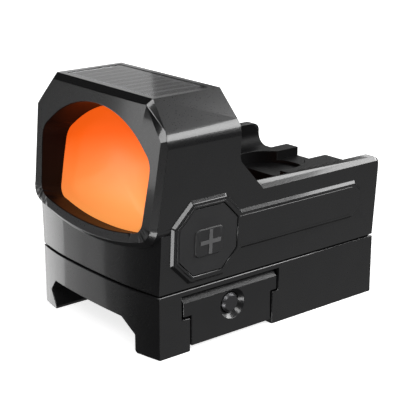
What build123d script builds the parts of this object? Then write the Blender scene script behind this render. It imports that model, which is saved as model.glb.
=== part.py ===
from build123d import *

import os
from math import atan, cos, degrees, radians, sin

# All sizes in millimetres. +X is the side with the plus button, the objective
# faces -Y, +Z is up and z = 0 is the underside of the rail clamp.
# The origin is the centre of the footprint on that underside.

# Overall form
BASE_HALF_W = 15.96          # riser base, half width
FLARE = 0.060                # the sides lean out by this much per mm above the seam
FRONT_Y = -22.33             # front corners of the base
BASE_REAR_Y = 23.67          # rear face of the base
BOW = 1.36                   # how far the front bows out ahead of its corners
SEAM_Z = 10.4                # joint between riser base and housing
GASKET_T = 0.3
BASE_Z = SEAM_Z - GASKET_T / 2
HOUSING_Z = SEAM_Z + GASKET_T / 2
REAR_Y = 24.3                # rear face of the housing
WALL_TOP_Z = 24.4
WALL_IN_X = 14.2
WALL_BEVEL = 0.62
DECK_Z = 20.35
DECK_FILLET = 2.2

# Hood
HOOD_TOP_Z = 39.9
HOOD_TOP_HALF_W = 12.77
SHOULDER_Z = 34.6
RAKE = 0.126                 # the front face leans back by this much per mm of height
FACE_Y30 = FRONT_Y - 0.31    # y of the front face at z = 30
SHOULDER_R = 3.6             # rounding between the hood's sides and its sloping shoulders
HOOD_BEVEL = 0.85
HOOD_TOP_REAR_Y = FRONT_Y + 14.4
HOOD_REAR_Y = FRONT_Y + 14.9
WEB_REAR_Y = HOOD_REAR_Y + 4.5   # foot of the sloping web between hood and wall
WEB_TOP_Z = 29.0
HOOD_SILL_Z = 16.05          # lowest point of the front frame

# Objective window, lens tunnel and lens
LENS_TILT = 13.3             # degrees; the lens leans back at the top
LENS_Y = FRONT_Y + 2.66      # front face of the lens at z = LENS_Z
LENS_Z = 21.5
LENS_T = 2.4
LENS_EDGE = 0.7              # the lens is this much larger than the window all round
RETAINER_T = 1.0
WINDOW_HALF_W = 14.0

# Side button in its raised octagon frame, with a long raised arm behind it
PAD_Y, PAD_Z = FRONT_Y + 8.82, 17.93
PAD_HALF_Y, PAD_HALF_Z = 6.95, 6.68
PAD_CUT = 3.6
PAD_T, PAD_BEVEL = 0.5, 0.42     # height of the relief and the bevel round it
PAD_STEP_IN, PAD_STEP_T = 0.85, 0.14
PAD_RIM = 1.25               # width of the frame around the button well
PAD_LEAN = degrees(atan(FLARE))
WELL_DEPTH = 1.35
ARM_LOW_Z, ARM_HIGH_Z = 14.8, 21.3
ARM_REAR_Y = FRONT_Y + 41.8
ARM_CUT = 1.5                # bevel of the arm's rear corners
BUTTON_GAP = 0.12
BUTTON_T = 0.75
BUTTON_SINK = 0.12           # how far the button's face lies below the frame's
MARK_Z = 17.65               # height of the raised square and its plus or minus sign
MARK_Y = PAD_Y + 0.2         # centre of the sign
MARK_W, MARK_H, MARK_R = 5.4, 4.5, 0.8
MARK_T, MARK_EDGE = 0.22, 0.15   # the raised square's height and its bevel
SIGN_L, SIGN_W, SIGN_T = 4.0, 0.68, 0.08
PLUNGER_Z, PLUNGER_R = 13.6, 0.8
HOLE_CLEARANCE = 0.1
SWITCH_X = (10.7, 12.2)
SWITCH_Z = (11.2, 14.3)
SWITCH_HALF_Y = 2.6

# Rail clamp
RAIL_SEAT_Z = 5.05
RAIL_APEX_Z = 3.0
FIXED_APEX_X = -13.35
RAIL_W = 21.2
RAIL_PITCH = 10.01
CHEEK_X = 10.9
JAW_HEAD_Y = (FRONT_Y + 4.7, FRONT_Y + 23.9)
JAW_HEAD_Z = (5.82, 9.08)
JAW_STEM_Y = (FRONT_Y + 6.25, FRONT_Y + 22.6)
JAW_LOW_Z = 0.8
JAW_GAP = 0.32
JAW_BACK_X = 12.2
JAW_FACE_X = 15.9
JAW_BEVEL = 0.95
BOLT_Y, BOLT_Z = FRONT_Y + 14.5, 5.7
BOLT_R = 1.65
BOLT_HEAD_X = (-16.5, -14.0)
BOLT_HEAD_R = 3.2
SPRING_R = 2.3
SPRING_WIRE = 0.5

# Open channel, emitter wall and deck
CHANNEL_Z = 15.3
CHANNEL_HALF_W = 12.4
BAY_Y = FRONT_Y + 35.2       # wall that carries the emitter
BAY_R = 6.2                  # round pocket in the deck behind that wall
BAY_CENTRE_Y = FRONT_Y + 36.3
BAY_FLOOR_Z = 19.8
RIDGE_Z = 21.9
RIDGE_IN_X = 3.5
RIDGE_OUT_X = 6.4
PLATE_OUT_X = 8.6

# Electronics, adjusters and fixings
BATTERY_R, BATTERY_T = 10.0, 3.2
BATTERY_Y = FRONT_Y + 20.6
BOARD_Z = (12.15, 12.95)
BOARD_Y = (FRONT_Y + 11.8, FRONT_Y + 41.0)
SCREW_X = 5.6
SCREW_Y = (FRONT_Y + 3.1, FRONT_Y + 43.6)
SCREW_R, SCREW_HEAD_R = 1.2, 2.2
WINDAGE_Y, WINDAGE_Z = BAY_Y + 4.7, 16.6
ELEVATION_X, ELEVATION_Y = 10.8, BAY_Y + 3.3
SLIDER_TRAVEL = 0.4          # each way
ADJUSTER_R, ADJUSTER_HEAD_R = 0.9, 1.6
LED_Z = 15.75


def half_width(z):
    """Half width of the flared sides at height z."""
    return BASE_HALF_W + FLARE * (z - SEAM_Z)


def face_y(z):
    """y of the hood's raked front face at height z."""
    return FACE_Y30 + RAKE * (z - 30)


def box(x, y, z):
    """A box from three (low, high) pairs."""
    size = [pair[1] - pair[0] for pair in (x, y, z)]
    centre = [(pair[1] + pair[0]) / 2 for pair in (x, y, z)]
    return Pos(*centre) * Box(*size)


def rod(radius, start, end):
    """A round bar between two points."""
    axis = Vector(*end) - Vector(*start)
    return extrude(Plane(origin=start, z_dir=axis) * Circle(radius), axis.length)


def cone(r_start, r_end, start, end):
    """A cone frustum between two points."""
    axis = Vector(*end) - Vector(*start)
    plane = Plane(origin=start, z_dir=axis)
    return plane * Pos(0, 0, axis.length / 2) * Cone(r_start, r_end, axis.length)


def polygon(*points):
    """A face from corner points in its own plane."""
    return make_face(Polyline(*points, close=True))


def prism_x(face_yz, x_low, x_high):
    """Carry a face drawn with (y, z) points along X."""
    return extrude(Plane.YZ.offset(x_low) * face_yz, x_high - x_low)


def prism_y(face_xz, y_low, y_high):
    """Carry a face drawn with (x, z) points along Y."""
    plane = Plane(origin=(0, y_low, 0), x_dir=(1, 0, 0), z_dir=(0, -1, 0))
    return extrude(plane * face_xz, -(y_high - y_low))


def prism_z(face_xy, z_low, z_high):
    """Carry a face drawn with (x, y) points up Z."""
    return extrude(Pos(0, 0, z_low) * face_xy, z_high - z_low)


def mirror_x(shape):
    return mirror(shape, about=Plane.YZ)


def both_sides(edges):
    """Edges on the +X side, from the middle outwards, and their mirror images."""
    return Curve() + edges + [mirror(edge, about=Plane.YZ) for edge in edges]


# ---------------------------------------------------------------- outlines

def bow_outline(rear_y, inset=0.0):
    """Plan of base and housing: straight sides and rear, bowed front."""
    w = BASE_HALF_W - inset
    y0 = FRONT_Y + inset
    bow = bow_edges(w, y0)
    return make_face(both_sides([*bow, Polyline((w, y0), (w, rear_y - inset), (0, rear_y - inset))]))


def bow_edges(w, y0):
    """Half of the bowed front, from the middle out to the corner at (w, y0)."""
    middle = (0.5 * w, y0 - 0.86 * BOW)
    return [
        ThreePointArc((0, y0 - BOW), (0.25 * w, y0 - 0.975 * BOW), middle),
        ThreePointArc(middle, (0.78 * w, y0 - 0.51 * BOW), (w, y0)),
    ]


def flared_plan(rear_y, reach):
    """The same bowed plan carried out to reach on both sides, to be trimmed by the flare."""
    w = BASE_HALF_W
    corner = (reach, FRONT_Y + 0.28 * (reach - w))
    rest = Polyline((w, FRONT_Y), corner, (reach, rear_y), (0, rear_y))
    return make_face(both_sides([*bow_edges(w, FRONT_Y), rest]))


def window_outline(grow=0.0):
    """Objective window in (x, height): arched top, near-upright sides, sagging sill."""
    g = grow
    half = WINDOW_HALF_W + g
    knee = (half - 1.0, 32.2 + 0.5 * g)
    side_top = (half + 0.5, 29.4)
    side_low = (half - 0.2, 21.9 - 0.3 * g)
    sill = (half - 2.4, 19.8 - g)
    edges = [
        ThreePointArc((0, 37.25 + g), (7.3 + 0.6 * g, 35.8 + 0.8 * g), knee),
        ThreePointArc(knee, (half + 0.2, 30.9 + 0.2 * g), side_top),
        Line(side_top, side_low),
        ThreePointArc(side_low, (half - 0.8, 20.5 - 0.8 * g), sill),
        ThreePointArc(sill, (6.0, 18.85 - g), (0, 18.55 - g)),
    ]
    return make_face(both_sides(edges))


def hood_outline():
    """Front view of the hood: a tall octagon whose foot is rounded into a sagging sill."""
    foot_z = 21.5
    shoulder = half_width(SHOULDER_Z)
    edges = [
        Polyline((0, HOOD_TOP_Z), (HOOD_TOP_HALF_W, HOOD_TOP_Z), (shoulder, SHOULDER_Z),
                 (half_width(foot_z), foot_z)),
        ThreePointArc((half_width(foot_z), foot_z), (15.85, 19.2), (13.9, 18.05)),
        ThreePointArc((13.9, 18.05), (7.6, 16.64), (0, HOOD_SILL_Z)),
    ]
    return make_face(both_sides(edges))


def octagon(half_y, half_z, cut):
    """Octagon about the button centre, drawn with (y, z) points."""
    y, z = PAD_Y, PAD_Z
    return polygon(
        (y - half_y + cut, z + half_z), (y + half_y - cut, z + half_z),
        (y + half_y, z + half_z - cut), (y + half_y, z - half_z + cut),
        (y + half_y - cut, z - half_z), (y - half_y + cut, z - half_z),
        (y - half_y, z - half_z + cut), (y - half_y, z + half_z - cut))


def octagon_inset(inset):
    """The pad's octagon pulled in evenly by inset."""
    return octagon(PAD_HALF_Y - inset, PAD_HALF_Z - inset, PAD_CUT - inset * (2 - 2 ** 0.5))


def lens_plane(depth=0.0):
    """Plane of the lens's front face, moved back along its normal by depth.

    Its local (x, y) are the object's x and a height that reads as z on the hood's face."""
    tilt = radians(LENS_TILT)
    back = Vector(0, cos(tilt), -sin(tilt))
    foot = Vector(0, LENS_Y, LENS_Z) + back * depth
    plane = Plane(origin=foot, x_dir=(1, 0, 0), z_dir=-back)
    return plane * Pos(0, -(LENS_Z + 0.95), 0)


def lens_prism(grow, depth_low, depth_high):
    """The window outline, grown, carried along the lens's normal."""
    return extrude(lens_plane(depth_low) * window_outline(grow), -(depth_high - depth_low))


# ---------------------------------------------------------------- housing

def side_blank():
    """Side view of the housing above the seam, carried across its width."""
    top = HOOD_TOP_Z
    outline = polygon(
        (FRONT_Y - 5, HOUSING_Z), (BASE_REAR_Y, HOUSING_Z), (BASE_REAR_Y + 0.1, 16.6),
        (REAR_Y, 18.6), (REAR_Y, WALL_TOP_Z), (WEB_REAR_Y, WALL_TOP_Z),
        (HOOD_REAR_Y + 0.25, WEB_TOP_Z), (HOOD_REAR_Y, WEB_TOP_Z + 0.7), (HOOD_REAR_Y, SHOULDER_Z),
        (HOOD_TOP_REAR_Y, top), (face_y(top), top), (face_y(14), 14), (FRONT_Y - 5, 14))
    return prism_x(outline, -20, 20)


def hood():
    """The hood block with its front edges bevelled."""
    reach = FRONT_Y - 4
    block = prism_y(hood_outline(), reach, HOOD_REAR_Y + 0.01)
    low, high = 10, 45
    wedge = prism_x(polygon((reach - 2, low), (face_y(low), low), (face_y(high), high),
                            (reach - 2, high)), -20, 20)
    block = block - wedge
    front = block.faces().sort_by(Axis.Y)[0]
    return chamfer(front.outer_wire().edges(), HOOD_BEVEL)


def flare_prism():
    """Both flared sides and the hood's top bevels as one upright prism."""
    low, high = HOUSING_Z - 1, HOOD_TOP_Z + 1
    shoulder = half_width(SHOULDER_Z)
    slope = (shoulder - HOOD_TOP_HALF_W) / (HOOD_TOP_Z - SHOULDER_Z)
    crown = HOOD_TOP_HALF_W - slope * (high - HOOD_TOP_Z)
    right = [(half_width(low), low), (shoulder, SHOULDER_Z), (crown, high)]
    left = [(-x, z) for x, z in reversed(right)]
    prism = prism_y(polygon(*right, *left), FRONT_Y - 6, REAR_Y + 2)
    edges = prism.edges().filter_by(Axis.Y).filter_by_position(Axis.Z, SHOULDER_Z - 0.1, SHOULDER_Z + 0.1)
    return fillet(edges, SHOULDER_R)


def relief_outline(inset=0.0):
    """Octagon and arm together, pulled in by inset."""
    low, high, rear = ARM_LOW_Z + inset, ARM_HIGH_Z - inset, ARM_REAR_Y - inset
    cut = ARM_CUT
    arm = polygon((PAD_Y, low), (rear - cut, low), (rear, low + cut),
                  (rear, high - cut), (rear - cut, high), (PAD_Y, high))
    return octagon_inset(inset) + arm


def leaning_plane(height):
    """Plane that lies height outside the +X side and leans with it; its normal points inwards."""
    lean = radians(PAD_LEAN)
    x = half_width(PAD_Z) + height
    return Plane(origin=(x, 0, PAD_Z), x_dir=(0, 1, 0), z_dir=(-cos(lean), 0, sin(lean)))


def leaning_block(face_yz, height, depth):
    """A (y, z) outline carried out along X and cut off at the leaning plane."""
    top = half_width(PAD_Z) + height
    block = prism_x(face_yz, top - depth, top + 2)
    return split(block, leaning_plane(height), keep=Keep.TOP)


def pad_relief():
    """Raised octagon frame and arm on the +X side: a bevelled plateau with a thin step on it."""
    plateau = leaning_block(relief_outline(), PAD_T, 3.0)
    face = plateau.faces().sort_by(Axis.X)[-1]
    plateau = chamfer(face.outer_wire().edges(), PAD_BEVEL)
    step = leaning_block(relief_outline(PAD_STEP_IN), PAD_T + PAD_STEP_T, 2.0)
    return plateau + step


def button_wells():
    """Octagonal wells for the buttons, their plunger holes and the pockets of their switches."""
    face = half_width(PAD_Z) + PAD_T + PAD_STEP_T
    well = split(prism_x(octagon_inset(PAD_RIM), face - 4, face + 3),
                 leaning_plane(PAD_T + PAD_STEP_T - WELL_DEPTH), keep=Keep.BOTTOM)
    hole = rod(PLUNGER_R + HOLE_CLEARANCE, (SWITCH_X[1], PAD_Y, PLUNGER_Z),
               (half_width(PLUNGER_Z) - 0.2, PAD_Y, PLUNGER_Z))
    half = SWITCH_HALF_Y + 0.6
    pocket = box((SWITCH_X[0] - 0.1, SWITCH_X[1] + 0.4), (PAD_Y - half, PAD_Y + half),
                 (HOUSING_Z - 1, SWITCH_Z[1] + 0.2))
    cuts = well + hole + pocket
    return [cuts, mirror_x(cuts)]


def deck_cut():
    """Trough between the walls behind the hood, less the two ridges that stand in it."""
    trough = box((-WALL_IN_X, WALL_IN_X), (HOOD_REAR_Y, REAR_Y + 2), (DECK_Z, 60))
    low = trough.faces().sort_by(Axis.Z)[0]
    trough = fillet(low.edges().filter_by(Axis.Y), DECK_FILLET)
    front = FRONT_Y + 33.4
    left = box((-RIDGE_OUT_X, -RIDGE_IN_X), (front, REAR_Y + 3), (DECK_Z - 1, RIDGE_Z))
    right = box((RIDGE_IN_X, PLATE_OUT_X), (front, REAR_Y + 3), (DECK_Z - 1, RIDGE_Z))
    return trough - left - right


def bay_cut():
    """Round pocket around the emitter, open towards the channel."""
    return rod(BAY_R, (0, BAY_CENTRE_Y, BAY_FLOOR_Z), (0, BAY_CENTRE_Y, 40))


def tunnel_cut():
    """Lens tunnel: the window to the lens's front face, then the larger seat and rear opening."""
    above_channel = box((-20, 20), (FRONT_Y, FRONT_Y + 25), (CHANNEL_Z, 60))
    seat = lens_prism(LENS_EDGE, 0, 14.5) & above_channel
    return lens_prism(0.0, -12, 0.01) + seat


def channel_cut():
    """Open channel from the back of the lens to the emitter wall, narrowing rearwards."""
    half, narrow = CHANNEL_HALF_W, BAY_R - 0.2
    plan = polygon((-half, FRONT_Y + 6.5), (half, FRONT_Y + 6.5), (half, FRONT_Y + 13),
                   (narrow, FRONT_Y + 33), (narrow, BAY_Y), (-narrow, BAY_Y),
                   (-narrow, FRONT_Y + 33), (-half, FRONT_Y + 13))
    return prism_z(plan, CHANNEL_Z, 30)


def electronics_cuts():
    """Battery well, board space, emitter cavity, adjuster and screw holes."""
    elevation = (ELEVATION_X, ELEVATION_Y)
    cuts = [
        rod(BATTERY_R + 0.4, (0, BATTERY_Y, HOUSING_Z - 1), (0, BATTERY_Y, 14.25)),
        box((-12.6, 12.6), (FRONT_Y + 11.4, FRONT_Y + 41.4), (HOUSING_Z - 1, BOARD_Z[1])),
        box((-8, 12.8), (BAY_Y + 1.2, FRONT_Y + 41.4), (HOUSING_Z - 1, 18.3)),
        box((-2.6, 2.6), (BAY_Y - 1, BAY_Y + 2), (13.9, 17.6)),
        rod(ADJUSTER_R + 0.08, (-20, WINDAGE_Y, WINDAGE_Z), (-7.9, WINDAGE_Y, WINDAGE_Z)),
        rod(ADJUSTER_HEAD_R + 0.15, (-20, WINDAGE_Y, WINDAGE_Z), (-15.0, WINDAGE_Y, WINDAGE_Z)),
        rod(ADJUSTER_R + 0.08, (*elevation, 18), (*elevation, 30)),
        rod(ADJUSTER_HEAD_R + 0.15, (*elevation, 19.1), (*elevation, 30)),
    ]
    for x in (-SCREW_X, SCREW_X):
        for y in SCREW_Y:
            cuts.append(rod(SCREW_R + 0.03, (x, y, HOUSING_Z - 1), (x, y, HOUSING_Z + 3.6)))
    return cuts


def solar_recess():
    """Shallow recess in the hood's top for the solar panel."""
    y_low, y_high = face_y(HOOD_TOP_Z) + 2.0, HOOD_TOP_REAR_Y - 1.1
    half = HOOD_TOP_HALF_W - 1.2
    return box((-half, half), (y_low, y_high), (HOOD_TOP_Z - 1.1, HOOD_TOP_Z + 1))


def wall_bevels(shape):
    """Bevel the outer top edges of both side walls."""
    along = shape.edges().filter_by(Axis.Y)
    edges = along.filter_by_position(Axis.Z, WALL_TOP_Z - 0.05, WALL_TOP_Z + 0.05)
    outer = [edge for edge in edges if abs(edge.center().X) > WALL_IN_X + 1]
    return chamfer(outer, WALL_BEVEL)


def make_housing():
    lower = prism_z(flared_plan(REAR_Y + 1, 19.5), HOUSING_Z, 20)
    walls = box((-19, 19), (FRONT_Y + 5, REAR_Y), (19, WALL_TOP_Z))
    web = box((-19, 19), (HOOD_REAR_Y - 1, WEB_REAR_Y), (WALL_TOP_Z - 1, WEB_TOP_Z + 0.7))
    shape = (lower + walls + web + hood()) & side_blank() & flare_prism()
    corners = shape.edges().filter_by(Axis.X).filter_by_position(Axis.Y, REAR_Y - 0.1, REAR_Y + 0.1)
    shape = fillet(corners.sort_by(Axis.Z)[-1], 1.4)
    shape = shape + pad_relief() + mirror_x(pad_relief())
    shape = shape - deck_cut()
    shape = wall_bevels(shape)
    openings = [tunnel_cut(), channel_cut(), bay_cut(), solar_recess()]
    for cut in openings + button_wells() + electronics_cuts():
        shape = shape - cut
    return shape


# ---------------------------------------------------------------- rail clamp

def rail_slot():
    """Dovetail slot for the rail, open below and at both ends."""
    return prism_y(polygon(
        (-11.7, -1), (-11.7, 0.55), (FIXED_APEX_X, RAIL_APEX_Z), (-11.5, RAIL_SEAT_Z),
        (7.8, RAIL_SEAT_Z), (CHEEK_X - 0.05, RAIL_APEX_Z - 0.05), (CHEEK_X, RAIL_APEX_Z - 0.3),
        (CHEEK_X, -1)), FRONT_Y - 5, BASE_REAR_Y + 2)


def make_riser_base():
    shape = prism_z(bow_outline(BASE_REAR_Y), 0, BASE_Z) - rail_slot()
    cheek = shape.edges().filter_by(Axis.Y).filter_by_position(Axis.Z, -0.01, 0.01)
    foot = cheek.filter_by_position(Axis.X, CHEEK_X - 0.01, CHEEK_X + 0.01)
    shape = fillet(foot, 0.6)
    gap = JAW_GAP
    stem_y = (JAW_STEM_Y[0] - gap, JAW_STEM_Y[1] + gap)
    head_y = (JAW_HEAD_Y[0] - gap, JAW_HEAD_Y[1] + gap)
    back = JAW_BACK_X - 0.3
    shape -= box((6, 20), stem_y, (-1, RAIL_SEAT_Z + gap / 2))
    shape -= box((back, 20), stem_y, (-1, JAW_HEAD_Z[0] + 1))
    shape -= box((back, 20), head_y, (JAW_HEAD_Z[0] - gap, JAW_HEAD_Z[1] + gap))
    axis = (BOLT_Y, BOLT_Z)
    shape -= rod(BOLT_R + 0.08, (-20, *axis), (20, *axis))
    shape -= rod(BOLT_HEAD_R + 0.25, (-20, *axis), (BOLT_HEAD_X[1], *axis))
    shape -= rod(SPRING_R + 0.5, (10.4, *axis), (20, *axis))
    shape -= recoil_lug_block()
    for x in (-SCREW_X, SCREW_X):
        for y in SCREW_Y:
            shape -= rod(SCREW_R + 0.1, (x, y, 0), (x, y, SEAM_Z + 1))
            shape -= rod(SCREW_HEAD_R + 0.15, (x, y, 0), (x, y, 6.95))
    return shape


def recoil_lug_block():
    """Cross key that drops into one of the rail's slots, let into the seat."""
    y = BOLT_Y + 2 * RAIL_PITCH
    return box((-6, 4), (y - 2.5, y + 2.5), (2.1, 6.4))


def make_recoil_lug():
    lug = recoil_lug_block()
    return chamfer(lug.faces().sort_by(Axis.Z)[0].edges(), 0.5)


def make_base_gasket():
    shape = prism_z(bow_outline(BASE_REAR_Y, inset=0.45), BASE_Z, HOUSING_Z)
    shape -= box((-12.7, 12.7), (FRONT_Y + 9.5, FRONT_Y + 41.5), (0, 20))
    for x in (-SCREW_X, SCREW_X):
        for y in SCREW_Y:
            shape -= rod(SCREW_R + 0.1, (x, y, 0), (x, y, 20))
    shape -= box((10.4, 12.7), (PAD_Y - 3.4, PAD_Y + 3.4), (0, 20))
    shape -= box((-12.7, -10.4), (PAD_Y - 3.4, PAD_Y + 3.4), (0, 20))
    return shape


def make_clamp_jaw():
    """T-shaped jaw: a bevelled head, a stem and a hook under the rail's edge."""
    face, back, bevel = JAW_FACE_X, JAW_BACK_X, JAW_BEVEL
    rail_apex = FIXED_APEX_X + RAIL_W + 0.1
    low, high = JAW_HEAD_Z
    head = polygon((back, low), (face, low), (face, high - bevel), (face - bevel, high), (back, high))
    hook = polygon((6.3, JAW_LOW_Z), (face, JAW_LOW_Z), (face, low + 0.5), (back, low + 0.5),
                   (back, 4.75), (rail_apex + 0.4, 4.75), (rail_apex, RAIL_APEX_Z))
    shape = prism_y(head, *JAW_HEAD_Y) + prism_y(hook, *JAW_STEM_Y)
    axis = (BOLT_Y, BOLT_Z)
    shape -= rod(BOLT_R + 0.07, (0, *axis), (20, *axis))
    shape -= rod(SPRING_R + 0.5, (0, *axis), (14.0, *axis))
    shape -= cone(BOLT_R, 2.5, (face - 0.85, *axis), (face + 0.01, *axis))
    return shape


def make_cross_bolt():
    """Bolt across the base: slotted head on -X, threaded end in the jaw."""
    axis = (BOLT_Y, BOLT_Z)
    low, high = BOLT_HEAD_X
    end = JAW_FACE_X - 0.25
    head = rod(BOLT_HEAD_R, (low, *axis), (high, *axis))
    head = chamfer(head.edges().sort_by(Axis.X)[0], 0.4)
    shank = rod(BOLT_R, (high - 0.5, *axis), (end, *axis))
    shank = chamfer(shank.edges().sort_by(Axis.X)[-1], 0.4)
    slot = box((low - 1, low + 1.2), (BOLT_Y - 4, BOLT_Y + 4), (BOLT_Z - 0.5, BOLT_Z + 0.5))
    return head + shank - slot


def make_jaw_spring():
    """Coil spring around the bolt that pushes the jaw open."""
    start, length = 10.4, 3.6
    wire = SPRING_WIRE / 2
    path = Helix(pitch=1.0, height=length - 2 * wire, radius=SPRING_R)
    section = Plane(origin=path @ 0, z_dir=path % 0) * Circle(wire)
    coil = sweep(section, path=path)
    return Pos(start + wire, BOLT_Y, BOLT_Z) * Rot(0, 90, 0) * coil


def make_housing_screws():
    """Screws from the rail seat up into the housing."""
    screws = []
    for x in (-SCREW_X, SCREW_X):
        for y in SCREW_Y:
            head = rod(SCREW_HEAD_R, (x, y, 5.35), (x, y, 6.95))
            socket = extrude(Pos(x, y, 5.35) * RegularPolygon(1.1, 6), 1.0)
            screws.append(head + rod(SCREW_R, (x, y, 6.9), (x, y, 13.6)) - socket)
    return Compound(children=screws)


# ---------------------------------------------------------------- optics and solar panel

def make_front_lens():
    return lens_prism(LENS_EDGE - 0.03, 0.02, LENS_T)


def make_lens_retainer():
    outer = lens_prism(LENS_EDGE - 0.03, LENS_T, LENS_T + RETAINER_T)
    return outer - lens_prism(-0.3, LENS_T - 1, LENS_T + RETAINER_T + 1)


def solar_area(inset=0.0):
    """Low and high (x, y) of the panel in the hood's top."""
    half = HOOD_TOP_HALF_W - 1.2 - inset
    return (-half, half), (face_y(HOOD_TOP_Z) + 2.0 + inset, HOOD_TOP_REAR_Y - 1.1 - inset)


def make_solar_substrate():
    x, y = solar_area(0.03)
    return box(x, y, (HOOD_TOP_Z - 1.1, HOOD_TOP_Z - 0.75))


def make_solar_cells():
    """Narrow cells side by side, each running front to back."""
    x, y = solar_area(0.6)
    count, gap = 10, 0.22
    pitch = (x[1] - x[0] + gap) / count
    z = (HOOD_TOP_Z - 0.75, HOOD_TOP_Z - 0.6)
    starts = [x[0] + i * pitch for i in range(count)]
    return Compound(children=[box((start, start + pitch - gap), y, z) for start in starts])


def make_solar_cover():
    x, y = solar_area(0.03)
    return box(x, y, (HOOD_TOP_Z - 0.6, HOOD_TOP_Z - 0.08))


# ---------------------------------------------------------------- controls

def make_button(strokes):
    """Octagonal button on +X with a raised square, a sign on it and a plunger behind it."""
    face = PAD_T + PAD_STEP_T - BUTTON_SINK
    outline = octagon_inset(PAD_RIM + BUTTON_GAP)
    plate = leaning_block(outline, face, 4)
    plate = split(plate, leaning_plane(face - BUTTON_T), keep=Keep.BOTTOM)
    square = Pos(PAD_Y, MARK_Z) * RectangleRounded(MARK_W, MARK_H, MARK_R)
    square = leaning_block(square, face + MARK_T, BUTTON_T)
    top = square.faces().sort_by(Axis.X)[-1]
    plate += chamfer(top.outer_wire().edges(), MARK_EDGE)
    for width, height in strokes:
        stroke = Pos(MARK_Y, MARK_Z) * Rectangle(width, height)
        plate += leaning_block(stroke, face + MARK_T + SIGN_T, BUTTON_T)
    root = half_width(PLUNGER_Z) + face - BUTTON_T / 2
    return plate + rod(PLUNGER_R, (SWITCH_X[1] + 0.8, PAD_Y, PLUNGER_Z), (root, PAD_Y, PLUNGER_Z))


def make_switch():
    """Side-facing push switch behind a button."""
    body = box(SWITCH_X, (PAD_Y - SWITCH_HALF_Y, PAD_Y + SWITCH_HALF_Y), SWITCH_Z)
    body = chamfer(body.edges().filter_by(Axis.X), 0.3)
    base, tip = SWITCH_X[1] - 0.1, SWITCH_X[1] + 0.38
    return body + rod(0.6, (base, PAD_Y, PLUNGER_Z), (tip, PAD_Y, PLUNGER_Z))


# ---------------------------------------------------------------- electronics

def make_circuit_board():
    shape = box((-12.3, 12.3), BOARD_Y, BOARD_Z)
    return shape - rod(BATTERY_R + 0.5, (0, BATTERY_Y, 0), (0, BATTERY_Y, 20))


def make_battery():
    low = HOUSING_Z + 0.05
    can = rod(BATTERY_R, (0, BATTERY_Y, low), (0, BATTERY_Y, low + BATTERY_T))
    return fillet(can.edges().sort_by(Axis.Z)[-1], 0.4)


def make_battery_contact():
    """Spring leaf above the battery."""
    low = HOUSING_Z + 0.05 + BATTERY_T
    return box((-4, 4), (BATTERY_Y - 2.5, BATTERY_Y + 2.5), (low + 0.1, 14.25))


def make_battery_pad():
    """Soft pad between the battery and the riser base."""
    return rod(9.0, (0, BATTERY_Y, BASE_Z), (0, BATTERY_Y, HOUSING_Z + 0.05))


def make_emitter_holder():
    """Block that holds the emitter, with an arm to the elevation screw."""
    y_low = BAY_Y + 1.5
    arm_z = (15.9, 17.3)
    block = box((-1.9, 1.9), (y_low, y_low + 1.8), (13.9, 17.4))
    arm = box((1.5, 12.2), (y_low, y_low + 1.8), arm_z)
    arm += box((9, 12.2), (y_low, y_low + 3.4), arm_z)
    bore = ADJUSTER_R + 0.08
    reach = bore + SLIDER_TRAVEL + 0.1
    slot_y = (ELEVATION_Y - bore, ELEVATION_Y + bore)
    slot = box((ELEVATION_X - reach, ELEVATION_X + reach), slot_y, (10, 20))
    return block + arm - slot - rod(0.92, (0, y_low - 1, LED_Z), (0, y_low + 1.1, LED_Z))


def make_emitter_led():
    return rod(0.9, (0, BAY_Y + 0.5, LED_Z), (0, BAY_Y + 2.58, LED_Z))


def make_emitter_carriage():
    block = box((-3.6, 3.6), (BAY_Y + 3.6, BAY_Y + 5.9), (14.0, 18.05))
    return block - rod(ADJUSTER_R + 0.08, (-5, WINDAGE_Y, WINDAGE_Z), (5, WINDAGE_Y, WINDAGE_Z))


def make_emitter_window():
    return box((-3.4, 3.4), (BAY_Y - 0.5, BAY_Y), (CHANNEL_Z, 18.4))


def slotted_screw(head_start, head_end, tip, slot):
    """Captive adjusting screw: slotted head, plain shank."""
    body = rod(ADJUSTER_HEAD_R, head_start, head_end) + rod(ADJUSTER_R, head_end, tip)
    return body - slot


def make_windage_screw():
    y, z = WINDAGE_Y, WINDAGE_Z
    slot = box((-17, -15.9), (y - 3, y + 3), (z - 0.25, z + 0.25))
    return slotted_screw((-16.5, y, z), (-15.0, y, z), (3.2, y, z), slot)


def make_elevation_screw():
    x, y = ELEVATION_X, ELEVATION_Y
    slot = box((x - 3, x + 3), (y - 0.25, y + 0.25), (19.8, 22))
    return slotted_screw((x, y, 20.3), (x, y, 19.1), (x, y, 14.2), slot)


PLUS = ((SIGN_L, SIGN_W), (SIGN_W, SIGN_L))
MINUS = ((SIGN_L, SIGN_W),)

PARTS = {
    "housing": make_housing(),
    "riser_base": make_riser_base(),
    "base_gasket": make_base_gasket(),
    "housing_screws": make_housing_screws(),
    "recoil_lug": make_recoil_lug(),
    "clamp_jaw": make_clamp_jaw(),
    "cross_bolt": make_cross_bolt(),
    "jaw_spring": make_jaw_spring(),
    "front_lens": make_front_lens(),
    "lens_retainer": make_lens_retainer(),
    "solar_substrate": make_solar_substrate(),
    "solar_cells": make_solar_cells(),
    "solar_cover": make_solar_cover(),
    "plus_button": make_button(PLUS),
    "minus_button": mirror_x(make_button(MINUS)),
    "plus_switch": make_switch(),
    "minus_switch": mirror_x(make_switch()),
    "circuit_board": make_circuit_board(),
    "battery": make_battery(),
    "battery_contact": make_battery_contact(),
    "battery_pad": make_battery_pad(),
    "emitter_holder": make_emitter_holder(),
    "emitter_led": make_emitter_led(),
    "emitter_carriage": make_emitter_carriage(),
    "emitter_window": make_emitter_window(),
    "windage_screw": make_windage_screw(),
    "elevation_screw": make_elevation_screw(),
}

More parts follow.
